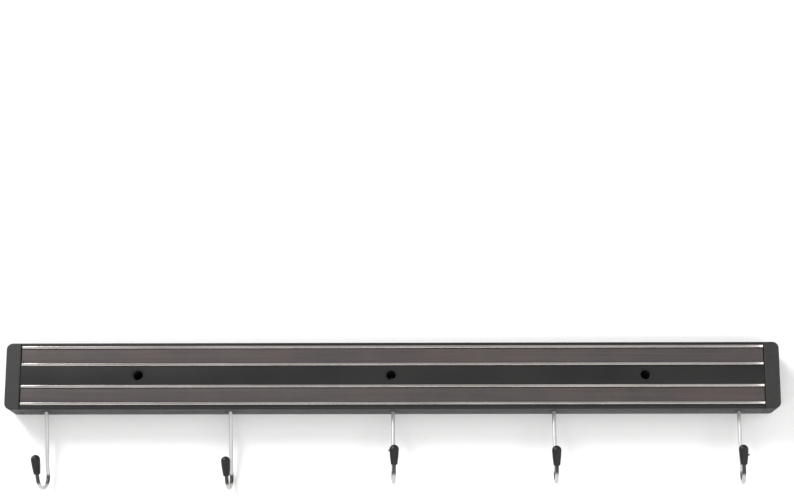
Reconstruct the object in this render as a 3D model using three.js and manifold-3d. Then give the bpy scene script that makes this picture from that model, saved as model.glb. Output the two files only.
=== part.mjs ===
// Wall-mounted magnetic rack for knives, with five small swivelling hooks under it.
// Millimetres. X runs along the rack, +Z is up, the front faces -Y and the wall is the plane y = 0.
// The origin is the middle screw hole, where it meets the wall.
import * as THREE from "three";
import { mergeVertices } from "three/addons/utils/BufferGeometryUtils.js";
import Module from "manifold-3d";

// Body
const RACK_LENGTH = 600;
const CAP_LENGTH = 12;
const TOP_Z = 25.7;
const BOTTOM_Z = -26.7;
const DEPTH = 25;
const GAP = 0.3;
const EDGE_RADIUS = 1.5;
const WALL = 2.4;
const PROFILE_HALF = RACK_LENGTH / 2 - CAP_LENGTH;
const CEILING_Z = TOP_Z - WALL;
const FLOOR_Z = BOTTOM_Z + WALL;
const MID_Z = (TOP_Z + BOTTOM_Z) / 2;

// Channels, pole bars and magnets
const CHANNEL_CENTRE = 15.4;
const CHANNEL_HALF = 8.1;
const CHANNEL_FLOOR_Y = -19.2;
const FLOOR_BACK_Y = -17.4;
const CHANNEL_SIDE = 1.8;
const BAND_LEG = 1.5;
const BAND_LEG_BACK_Y = -19;
const BAR_THICKNESS = 2;
const BAR_OFFSET = 6.8;
const BAR_PROUD = 0.5;
const BAR_HALF_LENGTH = 287.7;
const BAR_CHAMFER = 0.25;
const MAGNET_RECESS = 0.8;

// Back plate and the ledges it rests on
const PLATE_THICKNESS = 2;
const LEDGE_FRONT_Y = -3.8;
const LEDGE_HEIGHT = 1.4;

// Wall screw holes
const SCREW_XS = [-196.5, 0, 196.5];
const SCREW_NAMES = ["left", "centre", "right"];
const SLEEVE_OUTER = 4.6;
const SLEEVE_INNER = 3.9;
const WALL_SCREW_RADIUS = 2.2;

// End caps and the screws that hold them
const CAP_CORNER = 5;
const CAP_PROUD = 0.3;
const CAP_BEVEL = 0.8;
const CAP_WALL = 2.2;
const TONGUE_X = 274.5;
const TONGUE_OFFSET = 13;
const TONGUE_HALF = 4;
const TONGUE_FRONT_Y = -15;
const CAP_SCREW_X = 281;
const CAP_SCREW_LENGTH = 10;
const CAP_SCREW_RADIUS = 1.3;
const CAP_SCREW_HEAD = 2.6;
const CAP_SCREW_RIM = 0.3;
const CAP_SCREW_CONE = 1.3;
const CAP_SCREW_TOP = -0.2;
const RECESS_DEPTH = 0.8;
const RECESS_ARM = 1.5;
const RECESS_SLIT = 0.35;

// Hooks
const HOOK_Y = -12.6;
const PIVOT_Z = -22.5;
const WIRE_RADIUS = 1.45;
const EYE_RADIUS = 2.3;
const PIN_RADIUS = 0.6;
const PIN_HALF = 4.1;
const PIN_PLAY = 0.1;
const COLLAR_SHAFT = 3.6;
const COLLAR_HEAD = 4.5;
const COLLAR_BOTTOM_Z = -26.9;
const COLLAR_TOP_Z = -20.4;
const SLOT_HALF = 1.75;
const SLOT_SWING = 1.1;
const STEM_LENGTH = 45.2;
const BELLY_RADIUS = 18;
const BELLY_ANGLE = 13;
const BELLY_RUN = 2.5;
const BEND_RADIUS = 9.4;
const BEND_ANGLE = 181;
const WIRE_IN_TIP = 11.5;
const TIP_LENGTH = 15.3;
const TIP_DOME = 3.7;
const TIP_FOOT = 2.65;
const TIP_FOOT_ROUND = 0.75;
const TIP_WAIST = 3.4;
const TIP_WAIST_HEIGHT = 6.5;
const TIP_BORE = 1.75;
const NUB_RADIUS = 0.7;
const NUB_PROUD = 1;

// Each hook: place along the rack, turn of the collar and swing of the wire in degrees,
// the bare wire under its tip, and the turn and height of the moulding nub on that tip.
const HOOKS = [
  { x: -269.8, turn: -13, swing: -7.5, leg: 3.2, nubTurn: 200, nubHeight: 8 },
  { x: -125.7, turn: -5.5, swing: -9.5, leg: 2.5, nubTurn: 170, nubHeight: 8 },
  { x: 1.3, turn: 3, swing: 8.8, leg: 3.1, nubTurn: 95, nubHeight: 11 },
  { x: 126.3, turn: -1, swing: 9.4, leg: 2, nubTurn: 185, nubHeight: 8 },
  { x: 269.6, turn: -5.5, swing: 8.2, leg: 3.2, nubTurn: -85, nubHeight: 7.5 },
];

const ROUND = 32;
const SMALL_ROUND = 20;

const wasm = await Module();
wasm.setup();

const X_AXIS = new THREE.Vector3(1, 0, 0);
const Y_AXIS = new THREE.Vector3(0, 1, 0);
const Z_AXIS = new THREE.Vector3(0, 0, 1);

// A closed three.js geometry as a solid for booleans.
function solid(geometry) {
  const plain = geometry.clone();
  plain.deleteAttribute("normal");
  plain.deleteAttribute("uv");
  const merged = mergeVertices(plain, 1e-4);
  const mesh = new wasm.Mesh({
    numProp: 3,
    vertProperties: merged.attributes.position.array,
    triVerts: new Uint32Array(merged.index.array),
  });
  return new wasm.Manifold(mesh);
}

function geometryOf(manifold) {
  const mesh = manifold.getMesh();
  const geometry = new THREE.BufferGeometry();
  geometry.setAttribute("position", new THREE.BufferAttribute(mesh.vertProperties, 3));
  geometry.setIndex(new THREE.BufferAttribute(mesh.triVerts, 1));
  geometry.computeVertexNormals();
  return geometry;
}

function radians(degrees) {
  return THREE.MathUtils.degToRad(degrees);
}

// A box between two corners.
function box(low, high) {
  const geometry = new THREE.BoxGeometry(high[0] - low[0], high[1] - low[1], high[2] - low[2]);
  geometry.translate((low[0] + high[0]) / 2, (low[1] + high[1]) / 2, (low[2] + high[2]) / 2);
  return geometry;
}

// A cylinder between two points.
function rod(from, to, radius, segments = ROUND) {
  const start = new THREE.Vector3(...from);
  const run = new THREE.Vector3(...to).sub(start);
  const geometry = new THREE.CylinderGeometry(radius, radius, run.length(), segments);
  geometry.translate(0, run.length() / 2, 0);
  geometry.applyQuaternion(new THREE.Quaternion().setFromUnitVectors(Y_AXIS, run.normalize()));
  geometry.translate(start.x, start.y, start.z);
  return geometry;
}

// A section drawn in (y, z), run along X between two ends.
function alongX(shape, startX, endX) {
  const settings = { depth: endX - startX, bevelEnabled: false, curveSegments: 6 };
  const geometry = new THREE.ExtrudeGeometry(shape, settings);
  geometry.applyMatrix4(new THREE.Matrix4().makeBasis(Y_AXIS, Z_AXIS, X_AXIS));
  geometry.translate(startX, 0, 0);
  return geometry;
}

function polygon(points) {
  return new THREE.Shape(points.map(([a, b]) => new THREE.Vector2(a, b)));
}

// A rail's section: an outer wall, then a channel open to the front. side is 1 for the upper rail.
function railSection(side) {
  const edge = side > 0 ? TOP_Z : BOTTOM_Z;
  const wallInside = edge - side * WALL;
  const ledge = wallInside - side * LEDGE_HEIGHT;
  const ledgeBackY = -PLATE_THICKNESS - GAP;
  const inner = side * (CHANNEL_CENTRE - CHANNEL_HALF);
  const outer = side * (CHANNEL_CENTRE + CHANNEL_HALF);
  const sideFrontY = -DEPTH + WALL + GAP;
  const shape = polygon([
    [0, edge],
    [0, wallInside],
    [ledgeBackY, wallInside],
    [ledgeBackY, ledge],
    [LEDGE_FRONT_Y, ledge],
    [LEDGE_FRONT_Y, wallInside],
    [FLOOR_BACK_Y, wallInside],
    [FLOOR_BACK_Y, inner - side * CHANNEL_SIDE],
    [sideFrontY, inner - side * CHANNEL_SIDE],
    [sideFrontY, inner],
    [CHANNEL_FLOOR_Y, inner],
    [CHANNEL_FLOOR_Y, outer],
    [-DEPTH, outer],
    [-DEPTH, edge - side * EDGE_RADIUS],
  ]);
  shape.quadraticCurveTo(-DEPTH, edge, -DEPTH + EDGE_RADIUS, edge);
  shape.closePath();
  return shape;
}

function rail(side) {
  let body = solid(alongX(railSection(side), -PROFILE_HALF, PROFILE_HALF));
  if (side < 0) {
    for (const { x } of HOOKS) {
      const hole = rod([x, HOOK_Y, BOTTOM_Z - 1], [x, HOOK_Y, PIVOT_Z], COLLAR_SHAFT + GAP);
      body = body.subtract(solid(hole));
    }
  }
  return geometryOf(body);
}

// The flat band between the rails, with two legs that stand between their channels.
function centreBand() {
  const half = CHANNEL_CENTRE - CHANNEL_HALF;
  const back = -DEPTH + WALL;
  const legOut = half - CHANNEL_SIDE - GAP;
  const legIn = legOut - BAND_LEG;
  const section = polygon([
    [-DEPTH, -half],
    [-DEPTH, half],
    [back, half],
    [back, legOut],
    [BAND_LEG_BACK_Y, legOut],
    [BAND_LEG_BACK_Y, legIn],
    [back, legIn],
    [back, -legIn],
    [BAND_LEG_BACK_Y, -legIn],
    [BAND_LEG_BACK_Y, -legOut],
    [back, -legOut],
    [back, -half],
  ]);
  let band = solid(alongX(section, -PROFILE_HALF, PROFILE_HALF));
  for (const x of SCREW_XS) {
    const hole = rod([x, -DEPTH - 1, 0], [x, BAND_LEG_BACK_Y + 1, 0], SLEEVE_OUTER + GAP);
    band = band.subtract(solid(hole));
  }
  return geometryOf(band);
}

function capScrewPlaces() {
  const places = [];
  for (const side of [-1, 1]) {
    for (const up of [1, -1]) {
      places.push([side * CAP_SCREW_X, MID_Z + up * TONGUE_OFFSET]);
    }
  }
  return places;
}

// A countersunk shape turned about a line along Y at (x, z), with its wide end at the wall side.
function countersunk(x, z, headRadius, shankRadius, length) {
  const profile = [
    [0, 0],
    [headRadius, 0],
    [headRadius, -CAP_SCREW_RIM],
    [shankRadius, -CAP_SCREW_RIM - CAP_SCREW_CONE],
    [shankRadius, -length],
    [0, -length],
  ].map(([radius, along]) => new THREE.Vector2(radius, along));
  const geometry = new THREE.LatheGeometry(profile.reverse(), SMALL_ROUND);
  geometry.translate(x, CAP_SCREW_TOP, z);
  return geometry;
}

function backPlate() {
  const end = PROFILE_HALF - GAP;
  const low = [-end, -PLATE_THICKNESS, FLOOR_Z + GAP];
  const high = [end, 0, CEILING_Z - GAP];
  let plate = solid(box(low, high));
  for (const x of SCREW_XS) {
    plate = plate.subtract(solid(rod([x, -DEPTH, 0], [x, 1, 0], WALL_SCREW_RADIUS)));
  }
  for (const [x, z] of capScrewPlaces()) {
    const hole = countersunk(x, z, CAP_SCREW_HEAD + GAP, CAP_SCREW_RADIUS + GAP, DEPTH);
    const mouth = rod([x, CAP_SCREW_TOP - 0.1, z], [x, 1, z], CAP_SCREW_HEAD + GAP, SMALL_ROUND);
    plate = plate.subtract(solid(hole)).subtract(solid(mouth));
  }
  return geometryOf(plate);
}

function sleeve(x) {
  const shell = solid(rod([x, -DEPTH, 0], [x, -PLATE_THICKNESS - GAP, 0], SLEEVE_OUTER));
  const bore = solid(rod([x, -DEPTH - 1, 0], [x, 1, 0], SLEEVE_INNER));
  return geometryOf(shell.subtract(bore));
}

// A flat bar with its front edges broken.
function poleBar(centreZ) {
  const front = -DEPTH - BAR_PROUD;
  const back = CHANNEL_FLOOR_Y - GAP;
  const half = BAR_THICKNESS / 2;
  const section = polygon([
    [back, centreZ - half],
    [back, centreZ + half],
    [front + BAR_CHAMFER, centreZ + half],
    [front, centreZ + half - BAR_CHAMFER],
    [front, centreZ - half + BAR_CHAMFER],
    [front + BAR_CHAMFER, centreZ - half],
  ]);
  return alongX(section, -BAR_HALF_LENGTH, BAR_HALF_LENGTH);
}

function magnetStrip(centreZ) {
  const half = BAR_OFFSET - BAR_THICKNESS / 2 - GAP;
  const front = -DEPTH - BAR_PROUD + MAGNET_RECESS;
  const low = [-BAR_HALF_LENGTH, front, centreZ - half];
  const high = [BAR_HALF_LENGTH, CHANNEL_FLOOR_Y - GAP, centreZ + half];
  return box(low, high);
}

// The right end cap's outline from the front: square to the profile, rounded outside.
function capOutline() {
  const inner = PROFILE_HALF + GAP;
  const outer = RACK_LENGTH / 2;
  const turn = outer - CAP_CORNER;
  const shape = new THREE.Shape();
  shape.moveTo(inner, BOTTOM_Z);
  shape.lineTo(turn, BOTTOM_Z);
  shape.absarc(turn, BOTTOM_Z + CAP_CORNER, CAP_CORNER, -Math.PI / 2, 0, false);
  shape.lineTo(outer, TOP_Z - CAP_CORNER);
  shape.absarc(turn, TOP_Z - CAP_CORNER, CAP_CORNER, 0, Math.PI / 2, false);
  shape.lineTo(inner, TOP_Z);
  shape.closePath();
  return shape;
}

// An end cap: a bevelled shell open towards the profile, with two tongues that run into it.
function endCap(side) {
  const total = DEPTH + CAP_PROUD;
  const outside = new THREE.ExtrudeGeometry(capOutline(), {
    depth: total - 2 * CAP_BEVEL,
    bevelThickness: CAP_BEVEL,
    bevelSize: CAP_BEVEL,
    bevelOffset: -CAP_BEVEL,
    bevelSegments: 3,
    curveSegments: 8,
  });
  const forward = new THREE.Vector3(0, -1, 0);
  outside.applyMatrix4(new THREE.Matrix4().makeBasis(X_AXIS, Z_AXIS, forward));
  outside.translate(0, -CAP_BEVEL, 0);
  const inner = PROFILE_HALF - 1;
  const deep = RACK_LENGTH / 2 - CAP_WALL;
  const pocket = box(
    [inner, -DEPTH + CAP_WALL, BOTTOM_Z + CAP_WALL],
    [deep, -CAP_WALL, TOP_Z - CAP_WALL],
  );
  let cap = solid(outside).subtract(solid(pocket));
  for (const up of [-1, 1]) {
    const z = MID_Z + up * TONGUE_OFFSET;
    const low = [TONGUE_X, TONGUE_FRONT_Y, z - TONGUE_HALF];
    const high = [deep + 1, -PLATE_THICKNESS - GAP, z + TONGUE_HALF];
    const pilot = rod(
      [CAP_SCREW_X, -PLATE_THICKNESS - CAP_SCREW_LENGTH, z],
      [CAP_SCREW_X, 1, z],
      CAP_SCREW_RADIUS + GAP,
      SMALL_ROUND,
    );
    cap = cap.add(solid(box(low, high))).subtract(solid(pilot));
  }
  const geometry = geometryOf(cap);
  if (side < 0) {
    geometry.rotateY(Math.PI);
    geometry.translate(0, 0, 2 * MID_Z);
  }
  return geometry;
}

function capScrew(x, z) {
  const floor = CAP_SCREW_TOP - RECESS_DEPTH;
  const [arm, slit] = [RECESS_ARM, RECESS_SLIT];
  const cross = solid(box([x - arm, floor, z - slit], [x + arm, 1, z + slit])).add(
    solid(box([x - slit, floor, z - arm], [x + slit, 1, z + arm])),
  );
  const screw = solid(countersunk(x, z, CAP_SCREW_HEAD, CAP_SCREW_RADIUS, CAP_SCREW_LENGTH));
  return geometryOf(screw.subtract(cross));
}

// The wire's centre line in the hook's own plane: (forward, up) from the pivot.
function wireLine(leg) {
  const points = [[0, 0]];
  let heading = -90;
  let [u, v] = points[0];
  const step = (length) => {
    u += length * Math.cos(radians(heading));
    v += length * Math.sin(radians(heading));
    points.push([u, v]);
  };
  const straight = (length, pieces) => {
    for (let i = 0; i < pieces; i += 1) {
      step(length / pieces);
    }
  };
  const bend = (radius, angle, pieces) => {
    for (let i = 0; i < pieces; i += 1) {
      heading += angle / pieces / 2;
      step(radius * radians(Math.abs(angle) / pieces));
      heading += angle / pieces / 2;
    }
  };
  straight(STEM_LENGTH, 8);
  bend(BELLY_RADIUS, -BELLY_ANGLE, 4);
  straight(BELLY_RUN, 1);
  bend(BEND_RADIUS, BEND_ANGLE, 18);
  straight(leg, 1);
  const foot = [u, v];
  straight(WIRE_IN_TIP, 3);
  return { points, foot, heading };
}

// Turns a geometry built in a hook's plane (forward = -Y, pivot at the origin) into its place.
function placeHook(geometry, hook, swings) {
  if (swings) {
    geometry.rotateX(radians(-hook.swing));
  }
  geometry.rotateZ(radians(hook.turn));
  geometry.translate(hook.x, HOOK_Y, PIVOT_Z);
  return geometry;
}

function hookWire(hook) {
  const path = new THREE.CatmullRomCurve3(
    wireLine(hook.leg).points.map(([u, v]) => new THREE.Vector3(0, -u, v)),
    false,
    "centripetal",
  );
  const section = new THREE.Shape().absarc(0, 0, WIRE_RADIUS, 0, 2 * Math.PI, false);
  const settings = { steps: 56, extrudePath: path, curveSegments: 6 };
  const wire = solid(new THREE.ExtrudeGeometry(section, settings));
  const eye = solid(rod([-WIRE_RADIUS, 0, 0], [WIRE_RADIUS, 0, 0], EYE_RADIUS, 24));
  const hole = solid(rod([-EYE_RADIUS, 0, 0], [EYE_RADIUS, 0, 0], PIN_RADIUS + PIN_PLAY, 16));
  return placeHook(geometryOf(wire.add(eye).subtract(hole)), hook, true);
}

function hookTip(hook) {
  const { foot, heading } = wireLine(hook.leg);
  const bore = WIRE_IN_TIP + GAP;
  const domeStart = TIP_LENGTH - TIP_DOME;
  const profile = [
    [0, bore],
    [TIP_BORE, bore],
    [TIP_BORE, 0],
  ];
  const footSteps = 3;
  for (let i = 0; i <= footSteps; i += 1) {
    const angle = (Math.PI / 2) * (i / footSteps);
    const radius = TIP_FOOT - TIP_FOOT_ROUND * (1 - Math.sin(angle));
    profile.push([radius, TIP_FOOT_ROUND * (1 - Math.cos(angle))]);
  }
  profile.push([TIP_WAIST, TIP_WAIST_HEIGHT]);
  const steps = 7;
  for (let i = 0; i <= steps; i += 1) {
    const angle = (Math.PI / 2) * (i / steps);
    profile.push([TIP_DOME * Math.cos(angle), domeStart + TIP_DOME * Math.sin(angle)]);
  }
  profile[profile.length - 1][0] = 0;
  const points = profile.map(([radius, along]) => new THREE.Vector2(radius, along));
  const cap = solid(new THREE.LatheGeometry(points, 24));
  const nubStart = [0, hook.nubHeight, TIP_BORE + 0.4];
  const nubEnd = [0, hook.nubHeight, TIP_DOME + NUB_PROUD - 0.3];
  const nub = rod(nubStart, nubEnd, NUB_RADIUS, 12);
  nub.rotateY(radians(hook.nubTurn));
  const geometry = geometryOf(cap.add(solid(nub)));
  geometry.rotateX(Math.PI / 2);
  geometry.rotateX(radians(90 - heading));
  geometry.translate(0, -foot[0], foot[1]);
  return placeHook(geometry, hook, true);
}

function hookCollar(hook) {
  const bottom = COLLAR_BOTTOM_Z - PIVOT_Z;
  const shoulder = FLOOR_Z + GAP - PIVOT_Z;
  const top = COLLAR_TOP_Z - PIVOT_Z;
  const shaft = solid(rod([0, 0, bottom], [0, 0, top], COLLAR_SHAFT));
  const head = solid(rod([0, 0, shoulder], [0, 0, top], COLLAR_HEAD));
  const reach = SLOT_SWING + SLOT_HALF;
  let slot = solid(box([-SLOT_HALF, -SLOT_SWING, bottom - 1], [SLOT_HALF, SLOT_SWING, top + 1]));
  for (const y of [-SLOT_SWING, SLOT_SWING]) {
    slot = slot.add(solid(rod([0, y, bottom - 1], [0, y, top + 1], SLOT_HALF, SMALL_ROUND)));
  }
  slot = slot.add(solid(box([-SLOT_HALF, -reach, shoulder], [SLOT_HALF, reach, top + 1])));
  const pinHole = solid(rod([-9, 0, 0], [9, 0, 0], PIN_RADIUS + PIN_PLAY, 16));
  const collar = shaft.add(head).subtract(slot).subtract(pinHole);
  return placeHook(geometryOf(collar), hook, false);
}

function hookPin(hook) {
  return placeHook(rod([-PIN_HALF, 0, 0], [PIN_HALF, 0, 0], PIN_RADIUS, 16), hook, false);
}

const LOOKS = {
  profile: { color: 0x343432, roughness: 0.5, metalness: 0.1 },
  cap: { color: 0x3f403c, roughness: 0.65, metalness: 0 },
  plate: { color: 0x2a2a2a, roughness: 0.7, metalness: 0 },
  bar: { color: 0xcdc9c4, roughness: 0.35, metalness: 1 },
  magnet: { color: 0x5f5552, roughness: 0.75, metalness: 0.1 },
  sleeve: { color: 0x3a3a39, roughness: 0.45, metalness: 0.6 },
  screw: { color: 0x9a9a98, roughness: 0.35, metalness: 1 },
  chrome: { color: 0xd8d9dc, roughness: 0.12, metalness: 1 },
  tip: { color: 0x151515, roughness: 0.4, metalness: 0 },
  collar: { color: 0x202020, roughness: 0.55, metalness: 0 },
};

const rack = new THREE.Group();
rack.name = "knife_rack";

function addPart(name, geometry, look) {
  const mesh = new THREE.Mesh(geometry, new THREE.MeshStandardMaterial(LOOKS[look]));
  mesh.name = name;
  rack.add(mesh);
}

addPart("rail_upper", rail(1), "profile");
addPart("rail_lower", rail(-1), "profile");
addPart("centre_band", centreBand(), "profile");
addPart("back_plate", backPlate(), "plate");
addPart("end_cap_left", endCap(-1), "cap");
addPart("end_cap_right", endCap(1), "cap");
let barNumber = 0;
for (const side of [1, -1]) {
  for (const offset of [BAR_OFFSET, -BAR_OFFSET]) {
    barNumber += 1;
    addPart(`pole_bar_${barNumber}`, poleBar(side * CHANNEL_CENTRE + offset), "bar");
  }
}
addPart("magnet_strip_upper", magnetStrip(CHANNEL_CENTRE), "magnet");
addPart("magnet_strip_lower", magnetStrip(-CHANNEL_CENTRE), "magnet");
SCREW_XS.forEach((x, i) => addPart(`screw_sleeve_${SCREW_NAMES[i]}`, sleeve(x), "sleeve"));
capScrewPlaces().forEach(([x, z], i) => addPart(`cap_screw_${i + 1}`, capScrew(x, z), "screw"));
HOOKS.forEach((hook, i) => {
  addPart(`hook_collar_${i + 1}`, hookCollar(hook), "collar");
  addPart(`hook_pin_${i + 1}`, hookPin(hook), "screw");
  addPart(`hook_wire_${i + 1}`, hookWire(hook), "chrome");
  addPart(`hook_tip_${i + 1}`, hookTip(hook), "tip");
});

export default rack;
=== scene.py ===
import math
import random

import bmesh
import bpy
import numpy as np
from mathutils import Matrix, Vector


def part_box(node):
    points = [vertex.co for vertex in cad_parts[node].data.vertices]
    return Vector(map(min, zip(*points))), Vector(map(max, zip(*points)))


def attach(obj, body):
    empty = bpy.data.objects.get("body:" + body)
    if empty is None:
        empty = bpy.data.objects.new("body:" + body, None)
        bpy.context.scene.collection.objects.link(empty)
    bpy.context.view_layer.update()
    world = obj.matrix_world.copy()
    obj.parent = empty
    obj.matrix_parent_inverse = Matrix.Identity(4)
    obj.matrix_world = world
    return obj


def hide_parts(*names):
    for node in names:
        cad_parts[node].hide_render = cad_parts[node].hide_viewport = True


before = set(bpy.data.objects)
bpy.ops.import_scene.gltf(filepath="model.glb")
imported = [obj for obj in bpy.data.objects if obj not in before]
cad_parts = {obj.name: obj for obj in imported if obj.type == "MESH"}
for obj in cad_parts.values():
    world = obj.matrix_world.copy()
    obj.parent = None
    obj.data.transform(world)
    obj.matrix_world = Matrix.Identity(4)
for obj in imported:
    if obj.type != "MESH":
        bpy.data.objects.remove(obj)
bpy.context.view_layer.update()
random.seed(7)

MM = 0.001

# Sizes in millimetres, the same as in the frame.
TOP_Z, BOTTOM_Z, DEPTH = 25.7, -26.7, 25.0
GAP = 0.3
PROFILE_HALF = 288.0
CHANNEL_CENTRE = 15.4
CHANNEL_HALF = 8.1
CHANNEL_FLOOR_Y, FLOOR_BACK_Y = -19.2, -17.4
WALL = 2.4
HOOK_PIVOT_Y, HOOK_PIVOT_Z = -12.6, -22.5
WIRE_RADIUS, WIRE_IN_TIP = 1.45, 11.5
STEM_LENGTH = 45.2
BELLY_RADIUS, BELLY_ANGLE = 18, 13
BEND_RADIUS, BEND_ANGLE = 9.4, 181
EYE_RADIUS, PIN_HOLE = 2.3, 0.7
COLLAR_SHAFT, COLLAR_HEAD = 3.6, 4.5
SLOT_HALF, SLOT_SWING = 1.75, 1.1
TIP_BORE, TIP_BORE_DEPTH = 1.75, 11.8
TIP_FOOT, TIP_FOOT_ROUND = 1.9, 0.75
TIP_DOME, TIP_DOME_START = 3.7, 11.6
SEAM_HEIGHT, SEAM_SPREAD, SEAM_INSET = 0.07, 3.5, 0.06


# ---------------------------------------------------------------- meshes

def arc_points(centre, radius, start, end, count):
    angles = np.radians(np.linspace(start, end, count))
    return [(centre[0] + radius * math.cos(a), centre[1] + radius * math.sin(a)) for a in angles]


def rounded(points, radii, count=5):
    """A closed outline with each corner rounded to its own radius."""
    out = []
    total = len(points)
    for i, (point, radius) in enumerate(zip(points, radii)):
        here = Vector(point)
        before = Vector(points[i - 1]) - here
        after = Vector(points[(i + 1) % total]) - here
        if radius <= 0:
            out.append(tuple(here))
            continue
        half = before.angle(after) / 2
        reach = min(radius / math.tan(half), before.length * 0.49, after.length * 0.49)
        real = reach * math.tan(half)
        first = here + before.normalized() * reach
        last = here + after.normalized() * reach
        middle = here + (before.normalized() + after.normalized()).normalized() * (real / math.sin(half))
        a = first - middle
        b = last - middle
        turn = a.angle(b)
        sign = 1 if a.cross(b) > 0 else -1
        for k in range(count + 1):
            t = sign * turn * k / count
            c, s = math.cos(t), math.sin(t)
            out.append((middle.x + a.x * c - a.y * s, middle.y + a.x * s + a.y * c))
    return out


def mesh_of(name, verts, faces):
    mesh = bpy.data.meshes.new(name)
    mesh.from_pydata([tuple(c * MM for c in v) for v in verts], [], faces)
    mesh.update()
    return mesh


def join_parts(parts):
    """Several (vertices, faces) lists as one."""
    verts, faces = [], []
    for some_verts, some_faces in parts:
        base = len(verts)
        verts += list(some_verts)
        faces += [tuple(i + base for i in face) for face in some_faces]
    return verts, faces


def skin(rings, closed_ring=True, start_cap=True, end_cap=True):
    """Faces over a list of rings with equal numbers of points."""
    count = len(rings[0])
    verts = [v for ring in rings for v in ring]
    faces = []
    for r in range(len(rings) - 1):
        for i in range(count if closed_ring else count - 1):
            j = (i + 1) % count
            a, b = r * count, (r + 1) * count
            faces.append((a + i, a + j, b + j, b + i))
    if start_cap:
        faces.append(tuple(reversed(range(count))))
    if end_cap:
        base = (len(rings) - 1) * count
        faces.append(tuple(base + i for i in range(count)))
    return verts, faces


def run_x(outline, stations):
    """An outline in (y, z) carried along X; stations are (x, inset) pairs."""
    centre = np.mean(outline, axis=0)
    rings = []
    for x, inset in stations:
        ring = []
        for y, z in outline:
            d = np.array((y, z)) - centre
            scale = 1 - inset / max(np.abs(d).max(), 1e-6)
            ring.append((x, centre[0] + d[0] * scale, centre[1] + d[1] * scale))
        rings.append(ring)
    return skin(rings)


def lathe(profile, segments, closed=False):
    """A profile of (radius, height) turned about Z; it starts and ends on the axis unless closed."""
    verts, faces = [], []
    rows = []
    for radius, height in profile:
        if radius < 1e-6:
            rows.append([len(verts)])
            verts.append((0.0, 0.0, height))
        else:
            rows.append(list(range(len(verts), len(verts) + segments)))
            for k in range(segments):
                a = 2 * math.pi * k / segments
                verts.append((radius * math.cos(a), radius * math.sin(a), height))
    pairs = list(zip(rows, rows[1:])) + ([(rows[-1], rows[0])] if closed else [])
    for low, high in pairs:
        for k in range(segments):
            n = (k + 1) % segments
            if len(low) == 1 and len(high) == 1:
                continue
            if len(low) == 1:
                faces.append((low[0], high[n], high[k]))
            elif len(high) == 1:
                faces.append((low[k], low[n], high[0]))
            else:
                faces.append((low[k], low[n], high[n], high[k]))
    return verts, faces


def box_part(low, high):
    xs, ys, zs = zip(low, high)
    verts = [(x, y, z) for x in xs for y in ys for z in zs]
    faces = [(0, 1, 3, 2), (4, 6, 7, 5), (0, 4, 5, 1), (2, 3, 7, 6), (0, 2, 6, 4), (1, 5, 7, 3)]
    return verts, faces


def moved(part, matrix):
    verts, faces = part
    return [tuple(matrix @ Vector(v)) for v in verts], faces


def tube(path, radius, segments):
    """A round tube along a plane path of (y, z) points, at x = 0."""
    rings = []
    count = len(path)
    side = Vector((1, 0, 0))
    for i in range(count):
        here = Vector((0, *path[i]))
        ahead = Vector((0, *path[min(i + 1, count - 1)])) - Vector((0, *path[max(i - 1, 0)]))
        ahead.normalize()
        up = ahead.cross(side)
        ring = []
        for k in range(segments):
            a = 2 * math.pi * k / segments
            ring.append(tuple(here + side * radius * math.cos(a) + up * radius * math.sin(a)))
        rings.append(ring)
    return skin(rings)


def fix_normals(mesh):
    bm = bmesh.new()
    bm.from_mesh(mesh)
    bmesh.ops.recalc_face_normals(bm, faces=bm.faces)
    bm.to_mesh(mesh)
    bm.free()


def object_of(name, part, angle=30):
    mesh = mesh_of(name, *part)
    fix_normals(mesh)
    obj = bpy.data.objects.new(name, mesh)
    bpy.context.scene.collection.objects.link(obj)
    soften(obj, angle)
    return obj


def soften(obj, angle):
    obj.data.shade_smooth()
    obj.data.set_sharp_from_angle(angle=math.radians(angle))


def settle(obj):
    """Replaces the mesh by what its modifiers make of it."""
    bpy.context.view_layer.update()
    graph = bpy.context.evaluated_depsgraph_get()
    mesh = bpy.data.meshes.new_from_object(obj.evaluated_get(graph))
    obj.modifiers.clear()
    obj.data = mesh


def carve(obj, parts, angle=30):
    """Cuts each closed part out of the object."""
    for part in parts:
        cutter = object_of("cutter", part)
        cut = obj.modifiers.new("cut", "BOOLEAN")
        cut.operation = "DIFFERENCE"
        cut.solver = "EXACT"
        cut.object = cutter
        settle(obj)
        bpy.data.objects.remove(cutter)
    soften(obj, angle)


def break_edges(obj, width, segments=2, angle=35):
    bevel = obj.modifiers.new("edge", "BEVEL")
    bevel.width = width * MM
    bevel.segments = segments
    bevel.limit_method = "ANGLE"
    bevel.angle_limit = math.radians(angle)
    bevel.use_clamp_overlap = True
    settle(obj)
    soften(obj, angle)


def rod_part(start, end, radius, segments=48):
    run = Vector(end) - Vector(start)
    part = lathe([(0, 0), (radius, 0), (radius, run.length), (0, run.length)], segments)
    turn = run.to_track_quat("Z", "Y").to_matrix().to_4x4()
    return moved(part, Matrix.Translation(Vector(start)) @ turn)


# ---------------------------------------------------------------- materials

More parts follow.
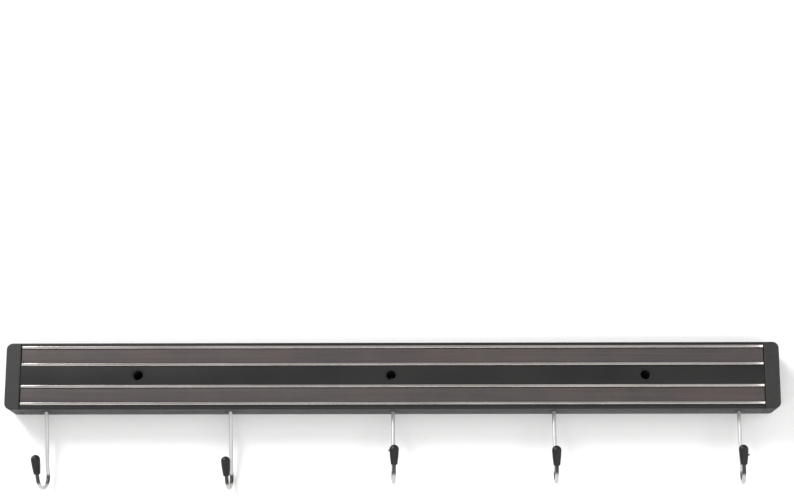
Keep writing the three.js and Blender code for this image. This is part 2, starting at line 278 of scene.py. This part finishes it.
class Look:
    """A node material with a few short cuts."""

    def __init__(self, name):
        self.material = bpy.data.materials.new(name)
        self.material.use_nodes = True
        self.tree = self.material.node_tree
        self.tree.nodes.clear()
        self.out = self.tree.nodes.new("ShaderNodeOutputMaterial")
        self.shader = self.tree.nodes.new("ShaderNodeBsdfPrincipled")
        self.tree.links.new(self.shader.outputs[0], self.out.inputs[0])
        self.coords = self.tree.nodes.new("ShaderNodeTexCoord").outputs["Object"]

    def set(self, **values):
        for key, value in values.items():
            socket = self.shader.inputs[key.replace("_", " ")]
            if isinstance(value, bpy.types.NodeSocket):
                self.tree.links.new(value, socket)
            else:
                socket.default_value = value

    def add(self, kind, settings=None, **sockets):
        node = self.tree.nodes.new(kind)
        for key, value in (settings or {}).items():
            setattr(node, key, value)
        for key, value in sockets.items():
            socket = node.inputs[int(key[1:])] if key[1:].isdigit() else node.inputs[key.replace("_", " ")]
            if isinstance(value, bpy.types.NodeSocket):
                self.tree.links.new(value, socket)
            else:
                socket.default_value = value
        return node

    def stretched(self, scale):
        return self.add("ShaderNodeMapping", Vector=self.coords, Scale=scale).outputs[0]

    def noise(self, scale, detail=3.0, rough=0.5, vector=None, distortion=0.0):
        node = self.add(
            "ShaderNodeTexNoise",
            Vector=vector or self.coords,
            Scale=scale,
            Detail=detail,
            Roughness=rough,
            Distortion=distortion,
        )
        return node.outputs["Fac"]

    def cells(self, scale, vector=None, feature="F1"):
        node = self.add(
            "ShaderNodeTexVoronoi",
            {"feature": feature},
            Vector=vector or self.coords,
            Scale=scale,
        )
        return node.outputs["Distance"]

    def remap(self, value, low, high, to_low, to_high):
        node = self.add(
            "ShaderNodeMapRange",
            Value=value,
            From_Min=low,
            From_Max=high,
            To_Min=to_low,
            To_Max=to_high,
        )
        return node.outputs[0]

    def maths(self, kind, a, b):
        return self.add("ShaderNodeMath", {"operation": kind}, _0=a, _1=b).outputs[0]

    def ramp(self, value, stops):
        node = self.add("ShaderNodeValToRGB", Fac=value)
        ramp = node.color_ramp
        while len(ramp.elements) < len(stops):
            ramp.elements.new(0.5)
        for element, (place, colour) in zip(ramp.elements, stops):
            element.position = place
            element.color = (*colour, 1.0)
        return node.outputs[0]

    def blend(self, fac, a, b):
        node = self.add("ShaderNodeMix", {"data_type": "RGBA"})
        for socket, value in zip((node.inputs[0], node.inputs[6], node.inputs[7]), (fac, a, b)):
            if isinstance(value, bpy.types.NodeSocket):
                self.tree.links.new(value, socket)
            elif isinstance(value, tuple):
                socket.default_value = (*value, 1.0)
            else:
                socket.default_value = value
        return node.outputs[2]

    def bump(self, height, strength, distance, normal=None):
        node = self.add("ShaderNodeBump", Height=height, Strength=strength, Distance=distance)
        if normal is not None:
            self.tree.links.new(normal, node.inputs["Normal"])
        return node.outputs[0]


def satin_plastic(name, dark, light, rough, grain=0.25):
    look = Look(name)
    cloud = look.noise(14.0, 4.0, 0.55)
    speck = look.noise(900.0, 2.0, 0.6)
    colour = look.ramp(cloud, [(0.35, dark), (0.68, light)])
    dust = look.remap(look.noise(160.0, 5.0, 0.7), 0.58, 0.82, 0.0, 0.22)
    colour = look.blend(dust, colour, tuple(c * 1.6 + 0.002 for c in light))
    gloss = look.maths("ADD", look.remap(cloud, 0.3, 0.7, rough - 0.05, rough + 0.05),
                       look.remap(speck, 0.3, 0.7, -0.03, 0.05))
    fine = look.bump(speck, grain, 0.00004)
    scuffs = look.noise(60.0, 3.0, 0.6, look.stretched((0.25, 6.0, 6.0)))
    look.set(
        Base_Color=colour,
        Roughness=gloss,
        Normal=look.bump(scuffs, 0.12, 0.00008, fine),
        IOR=1.42,
    )
    return look.material


def leather_plastic(name):
    look = Look(name)
    wobble = look.noise(420.0, 2.0, 0.5)
    cells = look.cells(760.0)
    ridges = look.cells(760.0, feature="DISTANCE_TO_EDGE")
    pits = look.remap(ridges, 0.0, 0.16, 0.0, 1.0)
    tone = look.noise(40.0, 4.0, 0.6)
    colour = look.ramp(tone, [(0.35, (0.009, 0.0095, 0.0085)), (0.7, (0.016, 0.0165, 0.015))])
    # painted shade: the colour is darkened in the grooves between the grain's raised cells
    colour = look.blend(look.remap(pits, 0.0, 1.0, 0.35, 0.0), colour, (0.004, 0.004, 0.004))
    height = look.maths("ADD", look.maths("MULTIPLY", pits, 0.8), look.maths("MULTIPLY", wobble, 0.5))
    normal = look.bump(look.maths("SUBTRACT", height, look.maths("MULTIPLY", cells, 0.3)), 0.4, 0.00012)
    look.set(
        Base_Color=colour,
        Roughness=look.remap(wobble, 0.3, 0.7, 0.52, 0.66),
        Normal=normal,
        IOR=1.5,
    )
    return look.material


def ground_steel(name):
    look = Look(name)
    grain = look.noise(1500.0, 4.0, 0.65, look.stretched((0.02, 1.0, 1.0)))
    streak = look.noise(260.0, 3.0, 0.6, look.stretched((0.06, 1.0, 1.0)))
    cloud = look.noise(9.0, 3.0, 0.5)
    colour = look.ramp(streak, [(0.3, (0.50, 0.47, 0.445)), (0.7, (0.67, 0.64, 0.615))])
    stain = look.remap(look.noise(70.0, 5.0, 0.7), 0.62, 0.8, 0.0, 0.35)
    colour = look.blend(stain, colour, (0.38, 0.33, 0.28))
    rough = look.maths(
        "ADD",
        look.remap(cloud, 0.3, 0.7, 0.21, 0.27),
        look.remap(grain, 0.3, 0.7, -0.02, 0.04),
    )
    look.set(
        Base_Color=colour,
        Metallic=1.0,
        Roughness=rough,
        Normal=look.bump(grain, 0.25, 0.00004),
    )
    return look.material


def ferrite(name):
    look = Look(name)
    lines = look.noise(700.0, 3.0, 0.6, look.stretched((0.012, 1.0, 1.0)))
    broad = look.noise(180.0, 3.0, 0.6, look.stretched((0.05, 1.0, 1.0)))
    blotch = look.noise(24.0, 4.0, 0.6, distortion=0.6)
    grit = look.noise(2400.0, 2.0, 0.7)
    colour = look.ramp(
        blotch,
        [(0.3, (0.032, 0.026, 0.025)), (0.5, (0.040, 0.031, 0.030)), (0.72, (0.054, 0.036, 0.034))],
    )
    colour = look.blend(look.remap(lines, 0.42, 0.66, 0.0, 0.45), colour, (0.060, 0.054, 0.052))
    colour = look.blend(look.remap(broad, 0.56, 0.75, 0.0, 0.4), colour, (0.024, 0.020, 0.019))
    height = look.maths("ADD", look.maths("MULTIPLY", lines, 0.7), look.maths("MULTIPLY", grit, 0.3))
    look.set(
        Base_Color=colour,
        Roughness=look.remap(grit, 0.3, 0.7, 0.5, 0.68),
        Normal=look.bump(height, 0.3, 0.00008),
        IOR=1.5,
    )
    return look.material


def bright_nickel(name):
    look = Look(name)
    haze = look.noise(120.0, 4.0, 0.6)
    drawn = look.noise(2600.0, 2.0, 0.6, look.stretched((1.0, 1.0, 0.12)))
    spots = look.remap(look.noise(900.0, 4.0, 0.7), 0.64, 0.8, 0.0, 0.5)
    colour = look.blend(look.remap(haze, 0.35, 0.65, 0.0, 1.0), (0.56, 0.56, 0.56), (0.49, 0.49, 0.485))
    colour = look.blend(spots, colour, (0.30, 0.29, 0.28))
    # painted dark reflection: the wire's colour is darkened on the flanks of the bend, where the bright
    # metal reflects dark surroundings
    painted_dark_reflection = look.add("ShaderNodeAttribute", {"attribute_name": "painted_dark_reflection"}).outputs["Fac"]
    darker = look.maths("MULTIPLY", painted_dark_reflection, look.remap(haze, 0.3, 0.7, 0.9, 1.0))
    colour = look.blend(darker, colour, (0.03, 0.029, 0.028))
    rough = look.maths(
        "ADD",
        look.remap(haze, 0.3, 0.7, 0.30, 0.40),
        look.remap(drawn, 0.3, 0.7, 0.0, 0.06),
    )
    look.set(Base_Color=colour, Metallic=0.6, Roughness=rough, Normal=look.bump(drawn, 0.08, 0.00003))
    return look.material


def gloss_plastic(name):
    look = Look(name)
    cloud = look.noise(220.0, 3.0, 0.6)
    speck = look.noise(1800.0, 3.0, 0.6)
    colour = look.ramp(cloud, [(0.3, (0.0018, 0.0018, 0.0018)), (0.7, (0.0035, 0.0035, 0.0034))])
    look.set(
        Base_Color=colour,
        Roughness=look.remap(speck, 0.3, 0.7, 0.36, 0.46),
        Normal=look.bump(speck, 0.12, 0.00004),
        IOR=1.42,
    )
    return look.material


def plated_steel(name):
    look = Look(name)
    cloud = look.noise(300.0, 4.0, 0.6)
    colour = look.ramp(cloud, [(0.3, (0.42, 0.42, 0.43)), (0.7, (0.58, 0.58, 0.57))])
    look.set(
        Base_Color=colour,
        Metallic=1.0,
        Roughness=look.remap(cloud, 0.3, 0.7, 0.26, 0.40),
        Normal=look.bump(look.noise(1600.0, 3.0, 0.6), 0.15, 0.00003),
    )
    return look.material


PROFILE = satin_plastic("profile_satin", (0.0034, 0.0035, 0.0032), (0.0065, 0.0065, 0.006), 0.45)
PLATE = satin_plastic("plate_matt", (0.012, 0.012, 0.012), (0.02, 0.02, 0.02), 0.62, 0.5)
CAP = leather_plastic("cap_grained")
STEEL = ground_steel("pole_ground_steel")
MAGNET = ferrite("magnet_ferrite")
SLEEVE = satin_plastic("sleeve_blackened", (0.013, 0.013, 0.013), (0.028, 0.028, 0.027), 0.38)
COLLAR = satin_plastic("collar_black", (0.0045, 0.0046, 0.0044), (0.009, 0.009, 0.0085), 0.45)
NICKEL = bright_nickel("wire_bright")
TIP = gloss_plastic("tip_black")
SCREW = plated_steel("screw_plated")


def finish_piece(obj, material, body, node):
    obj.data.materials.clear()
    obj.data.materials.append(material)
    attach(obj, body)
    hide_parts(node)


def ring_cutter(x, radius, y_from, y_to, z=0.0, segments=64):
    return rod_part((x, y_from, z), (x, y_to, z), radius, segments)


# ---------------------------------------------------------------- body

def centre_of(node):
    low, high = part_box(node)
    return (low + high) / 2 / MM


SLEEVES = [f"screw_sleeve_{n}" for n in ("left", "centre", "right")]
SLEEVE_XS = [centre_of(n).x for n in SLEEVES]
COLLAR_XS = [centre_of(f"hook_collar_{i}").x for i in range(1, 6)]
CAP_SCREWS = [f"cap_screw_{i}" for i in range(1, 5)]
CAP_SCREW_PLACES = [(centre_of(n).x, centre_of(n).z) for n in CAP_SCREWS]


def long_piece(name, node, corners, cuts, bend):
    """A section of (point, corner radius) pairs run along the rack and carved."""
    outline = rounded([c for c, _ in corners], [r for _, r in corners], 6)
    stations = [(x, 0) for x in np.linspace(-PROFILE_HALF, PROFILE_HALF, 25)]
    piece = object_of(name, run_x(outline, stations), bend)
    if cuts:
        carve(piece, cuts, bend)
    finish_piece(piece, PROFILE, "rack", node)


def build_rail(side):
    edge = TOP_Z if side > 0 else BOTTOM_Z
    inside = edge - side * WALL
    inner, outer = side * (CHANNEL_CENTRE - CHANNEL_HALF), side * (CHANNEL_CENTRE + CHANNEL_HALF)
    corners = [
        ((0, edge), 0.3), ((0, inside), 0.2), ((-2.3, inside), 0), ((-2.3, inside - side * 1.4), 0.2),
        ((-3.8, inside - side * 1.4), 0.2), ((-3.8, inside), 0), ((FLOOR_BACK_Y, inside), 0.5),
        ((FLOOR_BACK_Y, inner - side * 1.8), 0.4), ((-DEPTH + WALL + GAP, inner - side * 1.8), 0.3),
        ((-DEPTH + WALL + GAP, inner), 0.3), ((CHANNEL_FLOOR_Y, inner), 0.2),
        ((CHANNEL_FLOOR_Y, outer), 0.2), ((-DEPTH, outer), 0.3), ((-DEPTH, edge), 1.5),
    ]
    cuts = []
    if side < 0:
        for x in COLLAR_XS:
            low, high = (x, HOOK_PIVOT_Y, BOTTOM_Z - 2), (x, HOOK_PIVOT_Y, HOOK_PIVOT_Z)
            cuts.append(rod_part(low, high, COLLAR_SHAFT + GAP, 48))
    name = "upper" if side > 0 else "lower"
    long_piece(f"rail_{name}_profile", f"rail_{name}", corners, cuts, 28)


def build_band():
    half, back = CHANNEL_CENTRE - CHANNEL_HALF, -DEPTH + WALL
    leg_out, leg_back = half - 1.8 - GAP, -19.0
    leg_in = leg_out - 1.5
    one_side = [
        ((-DEPTH, half), 0.35), ((back, half), 0.2), ((back, leg_out), 0), ((leg_back, leg_out), 0.3),
        ((leg_back, leg_in), 0.3), ((back, leg_in), 0.2),
    ]
    corners = one_side + [((y, -z), r) for (y, z), r in reversed(one_side)]
    cuts = [ring_cutter(x, 4.9, -DEPTH - 3, leg_back + 1) for x in SLEEVE_XS]
    long_piece("centre_band_strip", "centre_band", corners, cuts, 28)


def build_back_plate():
    low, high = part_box("back_plate")
    low, high = low / MM, high / MM
    plate = object_of("back_plate_cover", box_part(tuple(low), tuple(high)))
    cuts = [ring_cutter(x, 2.2, -5, 2, 0, 48) for x in SLEEVE_XS]
    for x, z in CAP_SCREW_PLACES:
        cone = lathe([(0, 1.0), (2.9, 1.0), (2.9, -0.5), (1.6, -1.8), (1.6, -4.0), (0, -4.0)], 48)
        turn = Matrix.Rotation(-math.pi / 2, 4, "X")
        cuts.append(moved(cone, Matrix.Translation((x, 0, z)) @ turn))
    carve(plate, cuts)
    break_edges(plate, 0.18)
    finish_piece(plate, PLATE, "rack", "back_plate")


def build_sleeves():
    for name, x in zip(SLEEVES, SLEEVE_XS):
        profile = [
            (3.9, 2.5), (3.9, 24.7), (4.0, 24.92), (4.15, 25.0), (4.45, 25.0), (4.6, 24.85),
            (4.6, 2.3), (4.0, 2.3),
        ]
        part = lathe(profile, 64, closed=True)
        turn = Matrix.Rotation(math.pi / 2, 4, "X")
        sleeve = object_of(f"{name}_tube", moved(part, Matrix.Translation((x, 0, 0)) @ turn), 40)
        finish_piece(sleeve, SLEEVE, "rack", name)


def build_bars():
    for i in range(4):
        node = f"pole_bar_{i + 1}"
        low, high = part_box(node)
        low, high = low / MM, high / MM
        corners = [(high.y, low.z), (high.y, high.z), (low.y, high.z), (low.y, low.z)]
        outline = rounded(corners, [0.1, 0.1, 0.32, 0.32], 5)
        xs = np.linspace(low.x + 0.35, high.x - 0.35, 41)
        stations = [(low.x, 0.3), (low.x + 0.1, 0.12)] + [(x, 0) for x in xs]
        stations += [(high.x - 0.1, 0.12), (high.x, 0.3)]
        bar = object_of(f"{node}_steel", run_x(outline, stations), 40)
        finish_piece(bar, STEEL, "rack", node)


def build_magnets():
    for side in ("upper", "lower"):
        node = f"magnet_strip_{side}"
        low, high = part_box(node)
        low, high = low / MM, high / MM
        corners = [(high.y, low.z), (high.y, high.z), (low.y, high.z), (low.y, low.z)]
        outline = rounded(corners, [0.2, 0.2, 0.35, 0.35], 4)
        stations = [(low.x, 0.3)] + [(x, 0) for x in np.linspace(low.x + 0.3, high.x - 0.3, 41)]
        stations += [(high.x, 0.3)]
        strip = object_of(f"{node}_bar", run_x(outline, stations), 40)
        finish_piece(strip, MAGNET, "rack", node)


def cap_outline(inset):
    """The right cap from the front in (x, z), shrunk by inset on every side."""
    left, right = PROFILE_HALF + GAP + inset, 300.0 - inset
    low, high = BOTTOM_Z + inset, TOP_Z - inset
    outer = max(5.0 - inset, 0.5)
    corners = [(left, low), (right, low), (right, high), (left, high)]
    return rounded(corners, [0.5, outer, outer, 0.5], 14)


def build_cap(side):
    front, radius = -25.3, 1.0
    rings = []
    for inset, y in [(0.5, 0.0), (0.15, -0.15), (0.0, -0.5)]:
        rings.append([(x, y, z) for x, z in cap_outline(inset)])
    for y in np.linspace(-3, front + radius, 12):
        rings.append([(x, y, z) for x, z in cap_outline(0.0)])
    steps = 8
    for k in range(1, steps + 1):
        a = math.pi / 2 * k / steps
        inset = radius * (1 - math.cos(a))
        y = front + radius * (1 - math.sin(a))
        rings.append([(x, y, z) for x, z in cap_outline(inset)])
    for inset in (1.6, 2.6):
        rings.append([(x, front, z) for x, z in cap_outline(inset)])
    parts = [skin(rings)]
    middle = (TOP_Z + BOTTOM_Z) / 2
    for up in (-1, 1):
        z = middle + up * 13
        parts.append(box_part((274.5, -15, z - 4), (289.5, -2.3, z + 4)))
    verts, faces = join_parts(parts)
    if side < 0:
        verts = [(-x, y, z) for x, y, z in verts]
    name = "left" if side < 0 else "right"
    cap = object_of(f"end_cap_{name}_moulding", (verts, faces), 40)
    finish_piece(cap, CAP, "rack", f"end_cap_{name}")


def build_cap_screws():
    for node, (x, z) in zip(CAP_SCREWS, CAP_SCREW_PLACES):
        profile = [(0, -0.2), (2.3, -0.2), (2.52, -0.3), (2.6, -0.5), (1.3, -1.8)]
        for k in range(12):
            y = -2.4 - 0.58 * k
            profile += [(1.3, y), (1.02, y - 0.29)]
        profile += [(0.9, -9.4), (0, -10.2)]
        place = Matrix.Translation((x, 0, z)) @ Matrix.Rotation(-math.pi / 2, 4, "X")
        part = moved(lathe(profile, 40), place)
        screw = object_of(f"{node}_body", part, 35)
        arm, slit, depth = 1.5, 0.35, 1.0
        carve(screw, [
            box_part((x - arm, -depth, z - slit), (x + arm, 1, z + slit)),
            box_part((x - slit, -depth, z - arm), (x + slit, 1, z + arm)),
        ], 35)
        finish_piece(screw, SCREW, "rack", node)


# ---------------------------------------------------------------- hooks

# Place along the rack, turn, swing, bare wire under the tip, the nub's turn and height.
HOOKS = [
    (-269.8, -13, -7.5, 3.2, 200, 8), (-125.7, -5.5, -9.5, 2.5, 170, 8), (1.3, 3, 8.8, 3.1, 95, 11),
    (126.3, -1, 9.4, 2.0, 185, 8), (269.6, -5.5, 8.2, 3.2, -85, 7.5),
]


def hook_place(hook, swings=True):
    x, turn, swing = hook[:3]
    matrix = Matrix.Translation((x, HOOK_PIVOT_Y, HOOK_PIVOT_Z))
    matrix = matrix @ Matrix.Rotation(math.radians(turn), 4, "Z")
    if swings:
        matrix = matrix @ Matrix.Rotation(math.radians(-swing), 4, "X")
    return matrix


def wire_line(leg, fine=1):
    """The wire's centre line as (forward, up), the foot of the tip and its heading in degrees."""
    points, heading = [(0.0, 0.0)], -90.0
    u = v = 0.0

    def walk(length, angle, pieces):
        nonlocal u, v, heading
        for _ in range(pieces):
            heading += angle / pieces / 2
            u += length / pieces * math.cos(math.radians(heading))
            v += length / pieces * math.sin(math.radians(heading))
            heading += angle / pieces / 2
            points.append((u, v))

    walk(STEM_LENGTH, 0, 12 * fine)
    walk(BELLY_RADIUS * math.radians(BELLY_ANGLE), -BELLY_ANGLE, 6 * fine)
    walk(2.5, 0, 2 * fine)
    walk(BEND_RADIUS * math.radians(BEND_ANGLE), BEND_ANGLE, 36 * fine)
    walk(leg, 0, 2 * fine)
    foot = (u, v)
    walk(WIRE_IN_TIP, 0, 4 * fine)
    return points, foot, heading


def build_hooks():
    for i, hook in enumerate(HOOKS, 1):
        points, foot, heading = wire_line(hook[3])
        # The wire starts inside the eye's ring, clear of the pin's hole.
        points[0] = (0.0, -(PIN_HOLE + 0.7))
        wire = tube([(-u, v) for u, v in points], WIRE_RADIUS, 28)
        eye_profile = [
            (PIN_HOLE, -WIRE_RADIUS), (2.15, -WIRE_RADIUS), (EYE_RADIUS, -1.3),
            (EYE_RADIUS, 1.3), (2.15, WIRE_RADIUS), (PIN_HOLE, WIRE_RADIUS),
        ]
        eye = moved(lathe(eye_profile, 40, closed=True), Matrix.Rotation(math.pi / 2, 4, "Y"))
        part = join_parts([moved(wire, hook_place(hook)), moved(eye, hook_place(hook))])
        obj = object_of(f"hook_wire_{i}_chrome", part, 40)
        # paints a dark reflection onto the flanks of the bend
        mark_painted_dark_reflection(obj, wire[0])
        finish_piece(obj, NICKEL, f"hook_{i}", f"hook_wire_{i}")
        build_tip(i, hook, foot, heading)
        build_collar(i, hook)


def mark_painted_dark_reflection(obj, local):
    """The flanks of the bend, which look dark from the front, as a number from 0 to 1 at each point: the
    wire's colour there gets a painted dark reflection.
    """
    front_top, back_top, fade = 14.5, 10.5, 2
    front_y, bright_foot, foot_fade = -9, 3.8, 1.6
    low = min(z for _, _, z in local)
    marks = [0.0] * len(obj.data.vertices)
    for k, (_, y, z) in enumerate(local):
        top = front_top if y < front_y else back_top
        start = min(max((z - low - bright_foot) / foot_fade, 0), 1)
        marks[k] = start * min(max((top + fade - (z - low)) / fade, 0), 1)
    layer = obj.data.attributes.new("painted_dark_reflection", "FLOAT", "POINT")
    layer.data.foreach_set("value", marks)


def build_tip(i, hook, foot, heading):
    profile = [(0, TIP_BORE_DEPTH), (TIP_BORE, TIP_BORE_DEPTH), (TIP_BORE, 0.1), (1.8, 0.0), (TIP_FOOT, 0.0)]
    for k in range(1, 9):
        a = math.pi / 2 * k / 8
        profile.append((TIP_FOOT + TIP_FOOT_ROUND * math.sin(a), TIP_FOOT_ROUND * (1 - math.cos(a))))
    profile += [(2.86, 2.4), (3.07, 4.0), (3.26, 5.6), (3.4, 7.2), (3.52, 9.2), (3.63, 10.8)]
    for k in range(13):
        a = math.pi / 2 * k / 12
        profile.append((TIP_DOME * math.cos(a) if k < 12 else 0.0, TIP_DOME_START + TIP_DOME * math.sin(a)))
    segments = 64
    verts, faces = lathe(profile, segments)
    seam = []
    for x, y, z in verts:
        r = math.hypot(x, y)
        if r > 2.0:
            a = abs(math.degrees(math.atan2(x, y)))
            lift = SEAM_HEIGHT * math.exp(-(min(a, 180 - a) / SEAM_SPREAD) ** 2) - SEAM_INSET
            x, y = x * (1 + lift / r), y * (1 + lift / r)
        seam.append((x, y, z))
    nub_profile = [(0, 2.2), (0.7, 2.2), (0.7, 4.0), (0.58, 4.25), (0.3, 4.38), (0, 4.38)]
    nub = moved(lathe(nub_profile, 20), Matrix.Rotation(-math.pi / 2, 4, "X"))
    turn = Matrix.Rotation(math.radians(180 - hook[4]), 4, "Z")
    nub = moved(nub, Matrix.Translation((0, 0, hook[5])))
    place = (
        hook_place(hook)
        @ Matrix.Translation((0, -foot[0], foot[1]))
        @ Matrix.Rotation(math.radians(90 - heading), 4, "X")
    )
    part = join_parts([moved((seam, faces), place), moved(nub, place @ turn)])
    tip = object_of(f"hook_tip_{i}_cap", part, 50)
    finish_piece(tip, TIP, f"hook_{i}", f"hook_tip_{i}")


def build_collar(i, hook):
    place = hook_place(hook, False)
    shaft, head = COLLAR_SHAFT, COLLAR_HEAD
    profile = [
        (0, -4.4), (shaft - 0.25, -4.4), (shaft - 0.08, -4.33), (shaft, -4.18), (shaft, -1.5),
        (head - 0.2, -1.5), (head, -1.3), (head, 1.9), (head - 0.2, 2.1), (0, 2.1),
    ]
    collar = object_of(f"hook_collar_{i}_swivel", moved(lathe(profile, 56), place), 35)
    half = SLOT_HALF
    slot_outline = arc_points((0, SLOT_SWING), half, 0, 180, 13)
    slot_outline += arc_points((0, -SLOT_SWING), half, 180, 360, 13)
    slot = skin([[(x, y, z) for x, y in slot_outline] for z in (-6.5, 3.5)])
    upper = box_part((-half, -SLOT_SWING - half, -1.5), (half, SLOT_SWING + half, 3.5))
    pin_hole = moved(rod_part((-6, 0, 0), (6, 0, 0), PIN_HOLE, 24), place)
    carve(collar, [moved(slot, place), moved(upper, place), pin_hole], 35)
    finish_piece(collar, COLLAR, f"collar_{i}", f"hook_collar_{i}")
    pin_profile = [(0, -4.1), (0.45, -4.1), (0.6, -3.95), (0.6, 3.95), (0.45, 4.1), (0, 4.1)]
    pin = moved(lathe(pin_profile, 28), place @ Matrix.Rotation(math.pi / 2, 4, "Y"))
    obj = object_of(f"hook_pin_{i}_rivet", pin, 40)
    finish_piece(obj, SCREW, f"collar_{i}", f"hook_pin_{i}")


build_rail(1)
build_rail(-1)
build_band()
build_back_plate()
build_sleeves()
build_bars()
build_magnets()
build_cap(-1)
build_cap(1)
build_cap_screws()
build_hooks()


# ---------------------------------------------------------------- stage

def stage_plane(name, corners, colour, lights_others):
    mesh = bpy.data.meshes.new(name)
    mesh.from_pydata(corners, [], [(0, 1, 2, 3)])
    obj = bpy.data.objects.new(name, mesh)
    bpy.context.scene.collection.objects.link(obj)
    material = bpy.data.materials.new(name)
    material.use_nodes = True
    nodes, links = material.node_tree.nodes, material.node_tree.links
    nodes.clear()
    out = nodes.new("ShaderNodeOutputMaterial")
    paint = nodes.new("ShaderNodeBsdfDiffuse")
    paint.inputs[0].default_value = (*colour, 1)
    clear = nodes.new("ShaderNodeBsdfTransparent")
    mix = nodes.new("ShaderNodeMixShader")
    links.new(nodes.new("ShaderNodeNewGeometry").outputs["Backfacing"], mix.inputs[0])
    links.new(paint.outputs[0], mix.inputs[1])
    links.new(clear.outputs[0], mix.inputs[2])
    links.new(mix.outputs[0], out.inputs[0])
    obj.visible_diffuse = lights_others
    obj.visible_shadow = lights_others
    mesh.materials.append(material)
    return obj


WALL_Y = 0.0008
FLOOR_Z = -0.75
stage_plane(
    "stage_wall",
    [(-6, WALL_Y, FLOOR_Z), (6, WALL_Y, FLOOR_Z), (6, WALL_Y, 5), (-6, WALL_Y, 5)],
    (0.86, 0.86, 0.86),
    False,
)
stage_plane(
    "stage_floor",
    [(-8, -8, FLOOR_Z), (8, -8, FLOOR_Z), (8, 8, FLOOR_Z), (-8, 8, FLOOR_Z)],
    (0.80, 0.80, 0.79),
    True,
)


def area_light(name, place, target, size, power, colour=(1, 1, 1)):
    lamp = bpy.data.lights.new(name, "AREA")
    lamp.shape = "RECTANGLE"
    lamp.size, lamp.size_y = size
    lamp.energy = power
    lamp.color = colour
    obj = bpy.data.objects.new(name, lamp)
    obj.location = place
    obj.rotation_mode = "QUATERNION"
    obj.rotation_quaternion = (Vector(target) - Vector(place)).to_track_quat("-Z", "Y")
    bpy.context.scene.collection.objects.link(obj)


area_light("key", (-1.25, -1.25, 1.4), (-0.1, 0, -0.03), (0.8, 0.8), 46)
area_light("bounce", (0.0, -1.6, -0.62), (0, 0, -0.05), (2.2, 0.3), 8)
area_light("fill_right", (1.7, -1.3, 0.25), (0.1, 0, 0), (0.8, 0.8), 8)


def studio_world():
    """Even all round, dimmer where the camera stands and brighter overhead."""
    world = bpy.data.worlds.new("studio")
    bpy.context.scene.world = world
    world.use_nodes = True
    nodes, links = world.node_tree.nodes, world.node_tree.links
    nodes.clear()

    def remap(value, low, high, to_low, to_high, kind="SMOOTHSTEP"):
        node = nodes.new("ShaderNodeMapRange")
        node.interpolation_type = kind
        for key, number in zip(("From Min", "From Max", "To Min", "To Max"), (low, high, to_low, to_high)):
            if isinstance(number, bpy.types.NodeSocket):
                links.new(number, node.inputs[key])
            else:
                node.inputs[key].default_value = number
        links.new(value, node.inputs["Value"])
        return node.outputs[0]

    out = nodes.new("ShaderNodeOutputWorld")
    sky = nodes.new("ShaderNodeBackground")
    split = nodes.new("ShaderNodeSeparateXYZ")
    links.new(nodes.new("ShaderNodeTexCoord").outputs["Generated"], split.inputs[0])
    across = remap(split.outputs["X"], -1.0, 1.0, 0.0, 1.0, "LINEAR")
    ramp = nodes.new("ShaderNodeValToRGB")
    links.new(across, ramp.inputs[0])
    stops = [
        (-1.0, 0.2), (-0.45, 0.22), (-0.25, 0.14), (-0.1, 0.10), (0.08, 0.10), (0.26, 0.19),
        (0.6, 0.2), (1.0, 0.2),
    ]
    while len(ramp.color_ramp.elements) < len(stops):
        ramp.color_ramp.elements.new(0.5)
    for element, (place, value) in zip(ramp.color_ramp.elements, stops):
        element.position = place / 2 + 0.5
        element.color = (value, value, value, 1)
    stronger = nodes.new("ShaderNodeMath")
    stronger.operation = "MULTIPLY"
    stronger.inputs[1].default_value = 4.0
    links.new(ramp.outputs[0], stronger.inputs[0])
    round_about = remap(split.outputs["Y"], -0.70, -0.25, stronger.outputs[0], 0.55)
    strength = remap(split.outputs["Z"], 0.55, 0.9, round_about, 0.8)
    links.new(strength, sky.inputs["Strength"])
    sky.inputs["Color"].default_value = (1, 1, 1, 1)
    links.new(sky.outputs[0], out.inputs[0])


studio_world()

# ---------------------------------------------------------------- camera

camera = bpy.data.cameras.new("camera")
camera.sensor_width = 36.0
camera.lens = 73.68
camera.shift_y = 0.16
camera.clip_start, camera.clip_end = 0.01, 50
eye = bpy.data.objects.new("camera", camera)
eye.location = (0.0251, -1.2611, -0.2335)
eye.rotation_euler = (math.radians(90 + 10.691), math.radians(-0.069), math.radians(0.940))
bpy.context.scene.collection.objects.link(eye)
bpy.context.scene.camera = eye
bpy.context.scene.view_settings.view_transform = "Standard"
bpy.context.scene.view_settings.look = "None"
